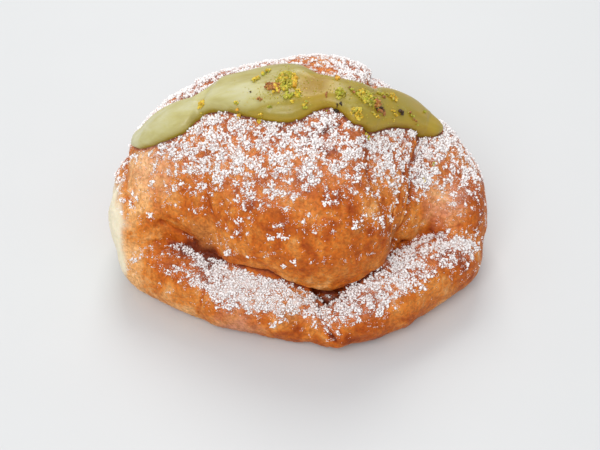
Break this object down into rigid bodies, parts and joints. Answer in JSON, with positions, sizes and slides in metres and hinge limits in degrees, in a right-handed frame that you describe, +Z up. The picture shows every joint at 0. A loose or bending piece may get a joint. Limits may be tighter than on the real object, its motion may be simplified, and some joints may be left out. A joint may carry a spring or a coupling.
{
  "type": "pistachio cornetto",
  "caption": "Rolled crescent pastry with its horns curled round to meet in front, topped by a stripe of pistachio cream with chopped nuts.",
  "frame": {"origin": "centre of the flat underside", "axes": "+X from the left horn to the right horn, -Y to the front where the horns meet, +Z up"},
  "size_m": [0.1266, 0.0972, 0.0725],
  "materials": {
    "baked_crust": "golden brown baked crust, dusted with icing sugar",
    "pistachio_cream": "glossy pale green cream with chopped nuts"
  },
  "bodies": {
    "root": {"pastry": "baked_crust", "pistachio_cream": "pistachio_cream"}
  },
  "joints": []
}
